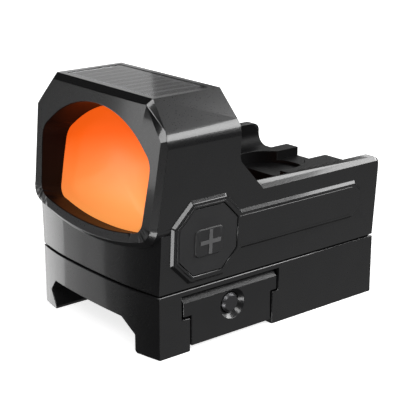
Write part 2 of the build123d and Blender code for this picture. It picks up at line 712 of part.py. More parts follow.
os.makedirs("parts", exist_ok=True)
for name, shape in PARTS.items():
    export_step(shape, f"parts/{name}.step")
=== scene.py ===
"""Open reflex red dot finder: its finished pieces, materials, stage and camera.

The file is laid out as an add-on and runs as a script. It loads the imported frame, registers one operator
for each group of pieces, calls them in turn and finishes. All lengths are metres, in the frame of the
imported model: the objective faces -Y, the plus button is on +X and +Z is up.
"""

from math import cos, pi, radians, sin, tan

import bmesh
import bpy
import numpy as np
from bpy.props import FloatProperty, FloatVectorProperty, PointerProperty
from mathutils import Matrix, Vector
from mathutils.bvhtree import BVHTree


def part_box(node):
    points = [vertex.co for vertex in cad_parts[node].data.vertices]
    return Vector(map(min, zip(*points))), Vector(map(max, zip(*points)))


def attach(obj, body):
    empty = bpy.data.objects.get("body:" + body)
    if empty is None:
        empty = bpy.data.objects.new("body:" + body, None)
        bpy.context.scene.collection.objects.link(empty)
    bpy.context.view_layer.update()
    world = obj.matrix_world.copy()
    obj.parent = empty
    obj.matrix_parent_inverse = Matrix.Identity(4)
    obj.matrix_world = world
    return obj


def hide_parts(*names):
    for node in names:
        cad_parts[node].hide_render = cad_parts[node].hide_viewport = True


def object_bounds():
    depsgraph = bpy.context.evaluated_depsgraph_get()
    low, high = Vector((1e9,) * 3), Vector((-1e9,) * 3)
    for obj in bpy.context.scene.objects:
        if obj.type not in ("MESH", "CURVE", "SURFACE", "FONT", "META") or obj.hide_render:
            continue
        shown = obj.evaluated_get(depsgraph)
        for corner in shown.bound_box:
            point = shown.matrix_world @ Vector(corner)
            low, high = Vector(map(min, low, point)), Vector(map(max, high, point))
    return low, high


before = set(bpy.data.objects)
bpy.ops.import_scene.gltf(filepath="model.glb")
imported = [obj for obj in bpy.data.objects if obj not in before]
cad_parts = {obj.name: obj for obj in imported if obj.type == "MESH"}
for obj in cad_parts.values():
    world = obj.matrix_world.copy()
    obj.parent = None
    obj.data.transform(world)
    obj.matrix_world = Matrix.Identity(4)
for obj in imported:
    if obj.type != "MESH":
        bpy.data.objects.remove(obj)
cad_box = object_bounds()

bl_info = {
    "name": "Red Dot Finder",
    "version": (1, 0, 0),
    "blender": (4, 5, 0),
    "location": "3D View > Sidebar > Finder",
    "description": "Builds the finished pieces and the stage of an open reflex red dot finder",
    "category": "Object",
}

MM = 0.001
SIGN_HEIGHT = 0.08 * MM      # how far the sign stands out from its square
WALL_INNER_X = 14.25 * MM    # just outside the inner faces of the side walls
TUNNEL_REAR = 1.5 * MM       # how far the lens tunnel runs past the solar panel
SPRING_EDGE = 0.01 * MM      # radius on the edges of the spring's ends
SPRING_ANGLE = 60.0          # degrees; the spring's wire has facets that turn nearly this much
ROUNDED_ANGLE = 28.0         # degrees; outer edges that turn more than this are rounded
WEIGHT_PER_WIDTH = 0.45      # share of a narrow face's width that an edge's rounding may take
STRAY_SHARE = 0.6            # share of the radius by which a rounded face may leave the surface
SETTLE_FACTORS = (1.0, 0.45, 0.45, 0.0, 0.0, 0.0, 0.0)    # weight kept near stray faces at each try
CREASE_ANGLE = 24.0          # degrees; edges that turn more than this shade as a crease
FLAT_CREASE = 5.0            # degrees; the same where both faces are flat
LEVEL_TURN = 0.008           # radians; triangles that turn less lie on one flat face
CURVE_SHARE = 0.7            # a curve's strips turn by more than this share of their largest turn
SIZE_SHARE = 0.15            # and the smaller of two strips has more than this share of the larger
FACE_STRENGTH = "__mod_weightednormals_faceweight"    # the attribute that weighted normals read
FLAT_STRENGTH, CURVED_STRENGTH = 16384, 8192
TINY_AREA = 1e-11            # faces below this area, in square metres, are too small to see
FINGERS = 9                  # conductors on the solar cells
SEAL_DEPTH = 0.06 * MM       # step between the coin cell's cap, its can and its sealing ring
SEAL_INSETS = (0.55 * MM, 0.75 * MM)    # outer and inner side of that ring, from the can's outside
CAP_INSETS = (0.85 * MM, 1.05 * MM)     # foot and top of the cap's rim, from the can's outside
LOOK_AT = (3.145, -2.33, 17.25)         # point that the camera looks at, in millimetres
LIGHT_HEIGHT = 18 * MM       # height of the point that the lights face
LIGHT_DISTANCE = 1.2         # metres from that point to each light

# Name, span of azimuth, span of elevation and radiance of each light. Angles are in degrees, azimuths
# from the objective side towards +X.
SOFTBOXES = (
    ("front_left_bright", (-92, -63.5), (-32, -11), 1.9),
    ("front_left_dim", (-63.5, -52.0), (-32, -14), 0.5),
    ("front_mid", (-51.9, -42), (-7.5, 6), 2.2),
    ("front_right_low", (24, 50), (-36, -19), 6.0),
    ("right_high", (48, 75), (34, 52), 6.0),
    ("right_low", (95, 165), (-44, -18), 0.24),
    ("shoulder", (112, 185), (17, 41.5), 7.0),
    ("slant", (4, 22), (39, 57), 7.4),
    ("rear_left", (-172, -131), (13.5, 40), 1.9),
    ("rear_left_low", (-126.3, -100), (3, 22), 0.66),
    ("rear_left_fade", (-129.0, -126.3), (3, 22), 0.26),
)


# ---------------------------------------------------------------- settings

def length_property(name, description, default):
    """A length in metres that a user may change."""
    return FloatProperty(name=name, description=description, default=default, min=0.0, unit="LENGTH",
                         subtype="DISTANCE", precision=5)


def angle_property(name, description, degrees_default):
    """An angle that a user may change, given in degrees here and kept in radians."""
    return FloatProperty(name=name, description=description, default=radians(degrees_default),
                         unit="ROTATION", subtype="ANGLE")


def colour_property(name, description, default):
    """A linear colour that a user may change."""
    return FloatVectorProperty(name=name, description=description, default=default, size=3, min=0.0, max=1.0,
                               subtype="COLOR")


class FinderSizes(bpy.types.PropertyGroup):
    """Edge radii and small sizes of the finished pieces."""

    body_edge: length_property("Body edge", "Radius on the edges of the housing and riser", 0.13 * MM)
    clamp_edge: length_property("Clamp edge", "Radius on the edges of the jaw and bolt", 0.12 * MM)
    button_edge: length_property("Button edge", "Radius on the edges of the buttons", 0.03 * MM)
    trim_edge: length_property("Trim edge", "Radius on the edges of screws and small trim", 0.05 * MM)
    lens_sag: length_property("Lens sag", "How far the lens's front bulges at its middle", 1.0 * MM)
    lens_bevel: length_property("Lens bevel", "Ground bevel round the lens's rim", 0.25 * MM)
    finger_width: length_property("Finger width", "Width of the conductors printed on the cells", 0.85 * MM)
    finger_height: length_property("Finger height", "Height of the printed conductors", 0.02 * MM)


class FinderColours(bpy.types.PropertyGroup):
    """Base colours of the finishes."""

    anodised: colour_property("Anodised", "Black anodised aluminium", (0.0105, 0.0105, 0.0112))
    steel: colour_property("Black steel", "Oxide black on screws and key", (0.03, 0.03, 0.032))
    bolt: colour_property("Bolt steel", "Phosphated steel of the cross bolt", (0.12, 0.12, 0.125))
    spring: colour_property("Spring steel", "Bright steel of the jaw spring", (0.5, 0.5, 0.51))
    rubber: colour_property("Rubber", "Gasket and pad", (0.008, 0.008, 0.008))
    button: colour_property("Button", "Soft coat of the buttons", (0.030, 0.030, 0.031))
    sign: colour_property("Sign", "Raised sign on the buttons", (0.13, 0.13, 0.132))
    # Lens coating colours; the lower one is lighter and warmer by a painted reflection, and both are also
    # given off as the coating's painted glow.
    coating: colour_property("Lens coating", "Reflective coating, upper part", (0.95, 0.115, 0.008))
    coating_low_painted_reflection: colour_property("Lens coating, low", "Reflective coating, lower part", (0.98, 0.33, 0.080))
    cell: colour_property("Solar cell", "Silicon of the cells", (0.055, 0.050, 0.066))
    laminate: colour_property("Laminate", "Backing between the cells", (0.14, 0.135, 0.15))
    board: colour_property("Board", "Solder mask", (0.012, 0.09, 0.035))
    nickel: colour_property("Nickel", "Battery can", (0.62, 0.61, 0.58))
    gold: colour_property("Gold", "Contact and pads", (0.83, 0.62, 0.24))
    red: colour_property("Emitter red", "Epoxy of the emitter", (0.65, 0.02, 0.01))
    # Strength of the coating's painted glow: light that the lens gives off though it is no lamp.
    glow: FloatProperty(name="Coating glow", description="Light that the coating adds", default=0.88, min=0.0)


class FinderStage(bpy.types.PropertyGroup):
    """Camera place and the pale floor."""

    camera_azimuth: angle_property("Azimuth", "Camera azimuth from the objective side towards +X", 50.578)
    camera_elevation: angle_property("Elevation", "Camera height angle", 17.711)
    camera_distance: length_property("Distance", "Camera distance to the point in view", 199.976 * MM)
    camera_lens: FloatProperty(name="Lens", description="Focal length in millimetres", default=104.71,
                               min=1.0)
    floor_size: length_property("Floor", "Side of the floor", 6.0)
    floor_glow: FloatProperty(name="Floor glow", description="Light that the floor adds", default=0.80,
                              min=0.0)
    ambient: FloatProperty(name="Ambient", description="Strength of the even light", default=0.035, min=0.0)


# ---------------------------------------------------------------- mesh helpers

def link(name, mesh):
    """Make an object of a mesh, at the origin, and put it in the scene."""
    piece = bpy.data.objects.new(name, mesh)
    bpy.context.scene.collection.objects.link(piece)
    return piece


def dress(piece, body, slot, material, *nodes):
    """Give a piece its material and its body, and hide the CAD nodes that it stands for; the argument slot is
    not used.
    """
    piece.data.materials.clear()
    piece.data.materials.append(material)
    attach(piece, body)
    if nodes:
        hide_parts(*nodes)
    return piece


def grid_faces(rows, columns, closed):
    """Quads of a rows by columns grid of points; closed joins the last column to the first."""
    last = columns if closed else columns - 1
    r, c = np.meshgrid(np.arange(rows - 1), np.arange(last), indexing="ij")
    nxt = (c + 1) % columns
    quads = np.stack([r * columns + c, r * columns + nxt, (r + 1) * columns + nxt, (r + 1) * columns + c], -1)
    return quads.reshape(-1, 4)


def surface(name, points, closed=False, outward=True):
    """Mesh from a grid of points, shape (rows, columns, 3). Doubles are merged, which closes seams and
    poles."""
    rows, columns = points.shape[:2]
    mesh = bpy.data.meshes.new(name)
    mesh.from_pydata(points.reshape(-1, 3).tolist(), [], grid_faces(rows, columns, closed).tolist())
    tidy_mesh(mesh, outward)
    return link(name, mesh)


def tidy_mesh(mesh, outward=True):
    """Merge doubles, drop empty faces and turn the faces outwards."""
    work = bmesh.new()
    work.from_mesh(mesh)
    bmesh.ops.remove_doubles(work, verts=work.verts, dist=1e-7)
    bmesh.ops.dissolve_degenerate(work, edges=work.edges, dist=1e-8)
    if outward:
        bmesh.ops.recalc_face_normals(work, faces=work.faces)
    work.to_mesh(mesh)
    work.free()
    mesh.shade_smooth()
    mesh.set_sharp_from_angle(angle=radians(32))


def lathe(name, profile, centre, axis, turns=64):
    """Turn a profile of (radius, height) rows about a line: point = centre + height * axis + radius * (cos
    a, sin a) in the plane across the axis."""
    axis = Vector(axis).normalized()
    side = axis.orthogonal().normalized()
    other = axis.cross(side)
    a = np.linspace(0, 2 * pi, turns, endpoint=False)
    ring = np.outer(np.cos(a), np.array(side)) + np.outer(np.sin(a), np.array(other))
    r, h = np.array(profile, float).T
    points = np.array(centre) + h[:, None, None] * np.array(axis) + r[:, None, None] * ring[None]
    return surface(name, points, closed=True)


def edge_pairs(mesh):
    """For each edge that two faces share: its number and both faces' numbers."""
    loops = len(mesh.loops)
    edge = np.zeros(loops, np.int32)
    mesh.loops.foreach_get("edge_index", edge)
    total = np.zeros(len(mesh.polygons), np.int32)
    mesh.polygons.foreach_get("loop_total", total)
    face = np.repeat(np.arange(len(total)), total)
    order = np.argsort(edge, kind="stable")
    edge, face = edge[order], face[order]
    counts = np.bincount(edge, minlength=len(mesh.edges))
    shared = counts[edge] == 2
    return edge[shared][::2], face[shared][::2], face[shared][1::2], total


def edge_ends(mesh):
    """Both end points of every edge, as two arrays."""
    ends = np.zeros(len(mesh.edges) * 2, np.int32)
    mesh.edges.foreach_get("vertices", ends)
    place = np.zeros(len(mesh.vertices) * 3, np.float32)
    mesh.vertices.foreach_get("co", place)
    place = place.reshape(-1, 3).astype(float)
    return place[ends[::2]], place[ends[1::2]]


def face_shapes(mesh):
    """Normal, centre and area of every face."""
    count = len(mesh.polygons)
    normal = np.zeros(count * 3, np.float32)
    centre = np.zeros(count * 3, np.float32)
    area = np.zeros(count, np.float32)
    mesh.polygons.foreach_get("normal", normal)
    mesh.polygons.foreach_get("center", centre)
    mesh.polygons.foreach_get("area", area)
    return normal.reshape(-1, 3), centre.reshape(-1, 3), area


def turns(normal, one, two):
    """Angles in radians between the normals of paired faces."""
    return np.arccos(np.clip((normal[one] * normal[two]).sum(1), -1, 1))


def edge_weights(mesh, radius, sharp):
    """Bevel weight of every edge: 1 on convex edges sharper than the angle sharp, less where a face beside
    the edge is too narrow for the radius (a strip's width is about twice its area over its perimeter), and
    0 elsewhere."""
    edge, one, two, total = edge_pairs(mesh)
    normal, centre, area = face_shapes(mesh)
    start, end = edge_ends(mesh)
    length = np.linalg.norm(end - start, axis=1)
    perimeter = np.zeros(len(total))
    np.add.at(perimeter, one, length[edge])
    np.add.at(perimeter, two, length[edge])
    width = 2 * area / np.maximum(perimeter, 1e-9)
    turn = turns(normal, one, two)
    middle = (start[edge] + end[edge]) / 2
    convex = ((centre[two] - middle) * normal[one]).sum(1) < 0
    room = np.minimum(width[one], width[two])
    weight = np.zeros(len(mesh.edges))
    weight[edge] = np.where((turn > sharp) & convex, np.clip(WEIGHT_PER_WIDTH * room / radius, 0, 1), 0)
    return weight


def flat_groups(one, two, count):
    """The flat face that every triangle belongs to, named by the lowest triangle that its level neighbours
    reach."""
    group = np.arange(count)
    while True:
        lowest = np.minimum(group[one], group[two])
        wider = group.copy()
        np.minimum.at(wider, one, lowest)
        np.minimum.at(wider, two, lowest)
        wider = wider[wider]
        if (wider == group).all():
            return group
        group = wider


def flat_faces(mesh):
    """Which triangles lie on flat ground. A curved face's strips turn against each other by their own
    largest turn and are alike in size; a flat face turns against the strip beside it by only half of that."""
    one, two, total = edge_pairs(mesh)[1:]
    normal, _, area = face_shapes(mesh)
    normal = normal.astype(float)
    turn = turns(normal, one, two)
    level = turn < LEVEL_TURN
    group = flat_groups(one[level], two[level], len(total))
    size = np.bincount(group, area, minlength=len(total))
    smooth = (turn >= LEVEL_TURN) & (turn < radians(CREASE_ANGLE))
    one, two, turn = group[one[smooth]], group[two[smooth]], turn[smooth]
    largest = np.zeros(len(total))
    np.maximum.at(largest, one, turn)
    np.maximum.at(largest, two, turn)
    alike = turn > CURVE_SHARE * np.maximum(largest[one], largest[two])
    alike &= np.minimum(size[one], size[two]) > SIZE_SHARE * np.maximum(size[one], size[two])
    curved = np.zeros(len(total), bool)
    curved[one[alike]] = True
    curved[two[alike]] = True
    return ~curved[group]


def mark_creases(mesh, flat):
    """Sharp edges: those that turn more than the crease angle, and those where two flat faces meet."""
    mesh.shade_smooth()
    mesh.set_sharp_from_angle(angle=radians(CREASE_ANGLE))
    edge, one, two, _ = edge_pairs(mesh)
    normal = face_shapes(mesh)[0].astype(float)
    turn = turns(normal, one, two)
    if "sharp_edge" not in mesh.attributes:
        mesh.attributes.new("sharp_edge", "BOOLEAN", "EDGE")
    sharp = np.zeros(len(mesh.edges), bool)
    mesh.attributes["sharp_edge"].data.foreach_get("value", sharp)
    sharp[edge] |= flat[one] & flat[two] & (turn > radians(FLAT_CREASE))
    mesh.attributes["sharp_edge"].data.foreach_set("value", sharp)


def stray_points(piece, tree, radius):
    """Corners of the rounded faces that left the unrounded surface by more than part of the radius, or
    turned over."""
    rounded = piece.evaluated_get(bpy.context.evaluated_depsgraph_get())
    mesh = rounded.to_mesh()
    mesh.calc_loop_triangles()
    stray = []
    for face in mesh.loop_triangles:
        corners = [mesh.vertices[i].co.copy() for i in face.vertices]
        middle = sum(corners, Vector()) / 3
        normal, distance = tree.find_nearest(middle)[1::2]
        if face.area > TINY_AREA and (distance > STRAY_SHARE * radius or normal.dot(face.normal) < -0.1):
            stray += [*corners, middle]
    rounded.to_mesh_clear()
    return np.array(stray).reshape(-1, 3)


def near_points(start, end, points, reach):
    """Which segments from start to end pass within reach of any point."""
    along = end - start
    share = ((points[None] - start[:, None]) * along[:, None]).sum(-1)
    share = np.clip(share / np.maximum((along ** 2).sum(-1), 1e-18)[:, None], 0, 1)
    nearest = start[:, None] + share[..., None] * along[:, None]
    return np.linalg.norm(nearest - points[None], axis=-1).min(1) < reach


def settle_edges(piece, tree, radius, weight):
    """Lower the bevel weights near stray faces, and then drop them, until the rounding stays on the
    surface."""
    mesh = piece.data
    start, end = edge_ends(mesh)
    field = mesh.attributes["bevel_weight_edge"].data
    for factor in SETTLE_FACTORS:
        used = np.flatnonzero(weight)
        stray = stray_points(piece, tree, radius) if factor < 1.0 else np.zeros((0, 3))
        if factor < 1.0 and not len(stray):
            return
        if len(stray):
            near = near_points(start[used], end[used], stray, STRAY_SHARE * radius)
            weight[used[near]] *= factor
        field.foreach_set("value", weight.astype(np.float32))
        mesh.update()


def welded_mesh(node):
    """A copy of a CAD node's triangles, welded, and the tree of its surface."""
    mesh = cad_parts[node].data.copy()
    if mesh.has_custom_normals:
        mesh.attributes.remove(mesh.attributes["custom_normal"])
    work = bmesh.new()
    work.from_mesh(mesh)
    bmesh.ops.remove_doubles(work, verts=work.verts, dist=1e-6)
    bmesh.ops.dissolve_degenerate(work, edges=work.edges, dist=1e-6)
    tree = BVHTree.FromBMesh(work)
    work.to_mesh(mesh)
    work.free()
    return mesh, tree


def add_rounding(piece, radius):
    """Rounding by edge weight, and then normals that the flat faces lead."""
    bevel = piece.modifiers.new("rounded_edges", "BEVEL")
    bevel.width = radius
    bevel.segments = 2
    bevel.limit_method = "WEIGHT"
    bevel.use_clamp_overlap = False
    bevel.miter_outer = "MITER_ARC"
    bevel.face_strength_mode = "FSTR_NEW"
    even = piece.modifiers.new("flat_faces_stay_flat", "WEIGHTED_NORMAL")
    even.keep_sharp = True
    even.use_face_influence = True


def finished_copy(node, radius, sharp=ROUNDED_ANGLE):
    """A CAD node's triangles, welded, with its sharp outer edges rounded."""
    mesh, tree = welded_mesh(node)
    piece = link(node + "_finished", mesh)
    mesh.attributes.new("bevel_weight_edge", "FLOAT", "EDGE")
    flat = flat_faces(mesh)
    mark_creases(mesh, flat)
    strength = mesh.attributes.new(FACE_STRENGTH, "INT", "FACE")
    strength.data.foreach_set("value", np.where(flat, FLAT_STRENGTH, CURVED_STRENGTH).astype(np.int32))
    add_rounding(piece, radius)
    settle_edges(piece, tree, radius, edge_weights(mesh, radius, radians(sharp)))
    return piece


# ---------------------------------------------------------------- materials

def start_material(name):
    """A material with its principled shader and the object's own coordinates."""
    material = bpy.data.materials.new(name)
    material.use_nodes = True
    nodes = material.node_tree.nodes
    shader = next(n for n in nodes if n.type == "BSDF_PRINCIPLED")
    where = nodes.new("ShaderNodeTexCoord")
    return material, material.node_tree, shader, where.outputs["Object"]


def noise(tree, where, scale, detail=2.0, stretch=(1.0, 1.0, 1.0)):
    """Noise of the given scale, per metre, stretched along the axes."""
    mapping = tree.nodes.new("ShaderNodeMapping")
    mapping.inputs["Scale"].default_value = stretch
    tree.links.new(where, mapping.inputs["Vector"])
    texture = tree.nodes.new("ShaderNodeTexNoise")
    texture.inputs["Scale"].default_value = scale
    texture.inputs["Detail"].default_value = detail
    tree.links.new(mapping.outputs["Vector"], texture.inputs["Vector"])
    return texture.outputs["Fac"]


def ranged(tree, value, low, high, from_low=0.3, from_high=0.7):
    """Map a value's middle range to low and high."""
    node = tree.nodes.new("ShaderNodeMapRange")
    node.inputs["From Min"].default_value = from_low
    node.inputs["From Max"].default_value = from_high
    node.inputs["To Min"].default_value = low
    node.inputs["To Max"].default_value = high
    tree.links.new(value, node.inputs["Value"])
    return node.outputs["Result"]


def tinted(tree, shader, factor, first, second):
    """Blend two base colours by a factor."""
    mix = tree.nodes.new("ShaderNodeMix")
    mix.data_type = "RGBA"
    mix.inputs[6].default_value = (*first, 1.0)
    mix.inputs[7].default_value = (*second, 1.0)
    tree.links.new(factor, mix.inputs[0])
    tree.links.new(mix.outputs[2], shader.inputs["Base Color"])


def bumped(tree, shader, height, depth):
    """Bump the surface by a height that spans the given depth, in metres."""
    bump = tree.nodes.new("ShaderNodeBump")
    bump.inputs["Distance"].default_value = depth
    bump.inputs["Strength"].default_value = 1.0
    tree.links.new(height, bump.inputs["Height"])
    tree.links.new(bump.outputs["Normal"], shader.inputs["Normal"])


def shade(colour, factor):
    """A colour made lighter or darker."""
    return tuple(min(1.0, c * factor) for c in colour)


def grained(name, colour, rough, metallic=0.0, grain=5200.0, depth=2.0e-6, spread=0.22, coat=0.0,
            coat_rough=0.1):
    """A finish with fine grain: the noise tints the colour, changes the roughness and lifts the surface a
    little."""
    material, tree, shader, where = start_material(name)
    fine = noise(tree, where, grain, 3.0)
    broad = noise(tree, where, grain / 26, 2.0)
    tinted(tree, shader, broad, shade(colour, 1 - spread), shade(colour, 1 + spread))
    tree.links.new(ranged(tree, fine, rough * 0.88, rough * 1.14), shader.inputs["Roughness"])
    bumped(tree, shader, fine, depth)
    shader.inputs["Metallic"].default_value = metallic
    shader.inputs["Coat Weight"].default_value = coat
    shader.inputs["Coat Roughness"].default_value = coat_rough
    return material


def turned_metal(name, colour, rough):
    """Turned metal with fine rings of grain stretched along X."""
    material, tree, shader, where = start_material(name)
    lines = noise(tree, where, 4200.0, 3.0, stretch=(0.12, 1.0, 1.0))
    tinted(tree, shader, lines, shade(colour, 0.7), shade(colour, 1.25))
    tree.links.new(ranged(tree, lines, rough * 0.8, rough * 1.25), shader.inputs["Roughness"])
    bumped(tree, shader, lines, 1.5e-6)
    shader.inputs["Metallic"].default_value = 0.9
    return material


def lens_coating_painted_glow(colours):
    """Reflective coating with a painted glow: its colour is also given off as light that stands in for the
    light it reflects, though it is no lamp. The colour, and so the glow, turns lighter and warmer towards
    the lower edge and a little towards +X as a painted reflection; a clear top layer gives it soft
    highlights."""
    material, tree, shader, where = start_material("lens_coating_painted_glow")
    low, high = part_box("front_lens")
    mapping = tree.nodes.new("ShaderNodeMapping")
    mapping.inputs["Location"].default_value = (0.0, 0.0, -low.z / (high.z - low.z))
    mapping.inputs["Scale"].default_value = (0.35 / (high.x - low.x), 0.0, 1 / (high.z - low.z))
    split = tree.nodes.new("ShaderNodeSeparateXYZ")
    tree.links.new(where, mapping.inputs["Vector"])
    tree.links.new(mapping.outputs["Vector"], split.inputs["Vector"])
    height = tree.nodes.new("ShaderNodeMath")
    height.operation = "SUBTRACT"
    tree.links.new(split.outputs["Z"], height.inputs[0])
    tree.links.new(split.outputs["X"], height.inputs[1])
    # Painted reflection: the colour turns lighter and warmer towards the lower edge and towards +X.
    painted_reflection_share = ranged(tree, height.outputs["Value"], 0.0, 1.0, 0.12, 0.78)
    tinted(tree, shader, painted_reflection_share, colours.coating_low_painted_reflection, colours.coating)
    # Painted glow: the coating's colour is given off as light of strength colours.glow, though the lens is no
    # lamp.
    tree.links.new(shader.inputs["Base Color"].links[0].from_socket, shader.inputs["Emission Color"])
    shader.inputs["Emission Strength"].default_value = colours.glow
    shader.inputs["Metallic"].default_value = 0.35
    tree.links.new(ranged(tree, noise(tree, where, 900.0), 0.30, 0.36), shader.inputs["Roughness"])
    shader.inputs["Coat Weight"].default_value = 0.35
    shader.inputs["Coat Roughness"].default_value = 0.16
    return material


def clear_glass(name, tint, rough=0.03):
    """Thin clear cover with a faint tint and a light haze that varies."""
    material, tree, shader, where = start_material(name)
    shader.inputs["Transmission Weight"].default_value = 1.0
    haze = noise(tree, where, 700.0)
    tinted(tree, shader, haze, shade(tint, 0.94), tint)
    tree.links.new(ranged(tree, haze, rough, rough * 1.8), shader.inputs["Roughness"])
    shader.inputs["IOR"].default_value = 1.45
    return material


# ---------------------------------------------------------------- pieces

def second_finish(mesh, material, chosen):
    """Give the chosen faces of a mesh a second material."""
    mesh.materials.append(material)
    mesh.polygons.foreach_set("material_index", chosen.astype(np.int32))


def inner_shade_faces(mesh):
    """The housing's inner faces, which get the matt finish and its painted shade: the lens tunnel, whose
    faces point at the axis of view, and all between the walls."""
    normal, centre, _ = face_shapes(mesh)
    low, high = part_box("lens_retainer")
    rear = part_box("solar_substrate")[1].y + TUNNEL_REAR
    x, y, z = centre.T
    axis_z = (low.z + high.z) / 2
    inwards = normal[:, 0] * x + normal[:, 2] * (z - axis_z) < 0
    tunnel = inwards & (np.abs(normal[:, 1]) < 0.9) & (np.abs(x) < high.x) & (z > low.z) & (y < rear)
    trough = (y > rear) & (np.abs(x) < WALL_INNER_X)
    return tunnel | trough


class FINDER_OT_body(bpy.types.Operator):
    """Finish the housing, riser base, gasket, recoil key and underside screws"""

    bl_idname = "finder.body"
    bl_label = "Housing and riser"

    def execute(self, context):
        sizes, colours = context.scene.finder_sizes, context.scene.finder_colours
        metal = grained("anodised_satin", colours.anodised, 0.30, coat=0.70, coat_rough=0.07, depth=1.2e-6)
        for node in ("housing", "riser_base"):
            dress(finished_copy(node, sizes.body_edge), "root", "black_anodised", metal, node)
        # Matt inner finish with less shine, and a colour darkened to 0.45 of the anodising as painted shade
        # in the tunnel and between the walls.
        inner = grained("inner_matt_painted_shade", shade(colours.anodised, 0.45), 0.50, depth=1.5e-6)
        inner.node_tree.nodes["Principled BSDF"].inputs["Specular IOR Level"].default_value = 0.10
        housing = bpy.data.objects["housing_finished"].data
        second_finish(housing, inner, inner_shade_faces(housing))
        rubber = grained("gasket_rubber", colours.rubber, 0.75, grain=3000.0, depth=4e-6)
        dress(finished_copy("base_gasket", sizes.trim_edge), "root", "gasket_rubber", rubber, "base_gasket")
        steel = turned_metal("oxide_steel", colours.steel, 0.38)
        for node in ("recoil_lug", "housing_screws"):
            dress(finished_copy(node, sizes.trim_edge), "root", "black_steel", steel, node)
        return {"FINISHED"}


class FINDER_OT_clamp(bpy.types.Operator):
    """Finish the clamp jaw, its cross bolt and the spring between them"""

    bl_idname = "finder.clamp"
    bl_label = "Rail clamp"

    def execute(self, context):
        sizes, colours = context.scene.finder_sizes, context.scene.finder_colours
        metal = grained("anodised_jaw", colours.anodised, 0.32, coat=0.60, coat_rough=0.10, depth=1.6e-6)
        dress(finished_copy("clamp_jaw", sizes.clamp_edge), "jaw", "black_anodised", metal, "clamp_jaw")
        bolt = turned_metal("bolt_steel", colours.bolt, 0.36)
        dress(finished_copy("cross_bolt", sizes.trim_edge), "bolt", "bolt_steel", bolt, "cross_bolt")
        wire = turned_metal("spring_wire", colours.spring, 0.25)
        dress(finished_copy("jaw_spring", SPRING_EDGE, SPRING_ANGLE), "root", "spring_steel",
              wire, "jaw_spring")
        return {"FINISHED"}


def sign_faces(mesh):
    """The faces of the sign, which stand furthest out on the button's leaning face."""
    normal, centre, area = face_shapes(mesh)
    front = normal[:, 0] * np.sign(centre[:, 0].mean()) > 0.95
    outwards = (normal[front] * area[front, None]).sum(0)
    outwards /= np.linalg.norm(outwards)
    height = centre @ outwards
    return (height > height.max() - SIGN_HEIGHT / 2) & (normal @ outwards > 0.9)


class FINDER_OT_buttons(bpy.types.Operator):
    """Finish the plus and minus buttons"""

    bl_idname = "finder.buttons"
    bl_label = "Buttons"

    def execute(self, context):
        sizes, colours = context.scene.finder_sizes, context.scene.finder_colours
        coat = grained("button_coat", colours.button, 0.50, depth=1.5e-6)
        sign = grained("button_sign", colours.sign, 0.45, coat=0.7, coat_rough=0.35, depth=1.5e-6)
        for node, body in (("plus_button", "plus_key"), ("minus_button", "minus_key")):
            piece = dress(finished_copy(node, sizes.button_edge), body, "button_coat", coat, node)
            second_finish(piece.data, sign, sign_faces(piece.data))
        return {"FINISHED"}


def lens_surface(sizes):
    """The lens as one closed surface. Its outline is the CAD lens's own, read as a radius r(a) about its
    middle in the plane of its front face. A point at share s of the radius stands out from that face by sag
    * (1 - s * s) less the rim's bevel, and the rear face follows the same curve, so that the lens is a
    meniscus."""
    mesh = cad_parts["front_lens"].data
    place = np.zeros(len(mesh.vertices) * 3, np.float32)
    mesh.vertices.foreach_get("co", place)
    place = place.reshape(-1, 3).astype(float)
    normal, middle = lens_axis(place)
    up = np.cross(normal, [-1.0, 0.0, 0.0])
    up /= np.linalg.norm(up)
    depth = (place - middle) @ normal
    front = place[depth > depth.max() - 0.01 * MM]
    x, z = front[:, 0] - middle[0], (front - middle) @ up
    order = np.argsort(np.arctan2(z, x))
    angle = np.linspace(-pi, pi, 192, endpoint=False)
    radius = np.interp(angle, np.arctan2(z, x)[order], np.hypot(x, z)[order], period=2 * pi)
    thick = depth.max() - depth.min()
    bevel = sizes.lens_bevel
    share = np.concatenate([np.linspace(0, 1, 25) ** 0.7, [1.0, 1.0], np.linspace(1, 0, 25) ** 0.7])
    inset = np.concatenate([np.full(25, bevel), [0.0, 0.0], np.full(25, bevel)])
    level = np.concatenate([sizes.lens_sag * (1 - share[:25] ** 2), [-bevel, bevel - thick],
                            sizes.lens_sag * (1 - share[27:] ** 2) - thick])
    reach = share[:, None] * (radius[None] - inset[:, None])
    flat = reach[..., None] * (np.cos(angle)[:, None] * [1.0, 0.0, 0.0] + np.sin(angle)[:, None] * up)
    points = middle + flat + (depth.max() + level)[:, None, None] * normal
    return surface("objective_lens", points, closed=True)


def lens_axis(place):
    """The lens's front normal and the middle of its points. Its flat faces are the widest spread of the
    points, so the normal is the direction in which they spread least, turned to the objective side."""
    middle = (place.min(0) + place.max(0)) / 2
    spread = place - place.mean(0)
    normal = np.linalg.svd(spread, full_matrices=False)[2][-1]
    normal[0] = 0.0
    normal /= np.linalg.norm(normal)
    return (normal if normal[1] < 0 else -normal), middle


class FINDER_OT_optics(bpy.types.Operator):
    """Make the coated lens, its retainer and the emitter's window"""

    bl_idname = "finder.optics"
    bl_label = "Optics"

    def execute(self, context):
        sizes, colours = context.scene.finder_sizes, context.scene.finder_colours
        dress(lens_surface(sizes), "root", "lens_glass", lens_coating_painted_glow(colours), "front_lens")
        plastic = grained("retainer_black", colours.rubber, 0.6, grain=4000.0)
        plastic.node_tree.nodes["Principled BSDF"].inputs["Specular IOR Level"].default_value = 0.15
        dress(finished_copy("lens_retainer", sizes.trim_edge), "root", "retainer_plastic",
              plastic, "lens_retainer")
        glass = clear_glass("emitter_glass", (0.75, 0.78, 0.82))
        dress(finished_copy("emitter_window", sizes.trim_edge), "root", "emitter_window",
              glass, "emitter_window")
        return {"FINISHED"}


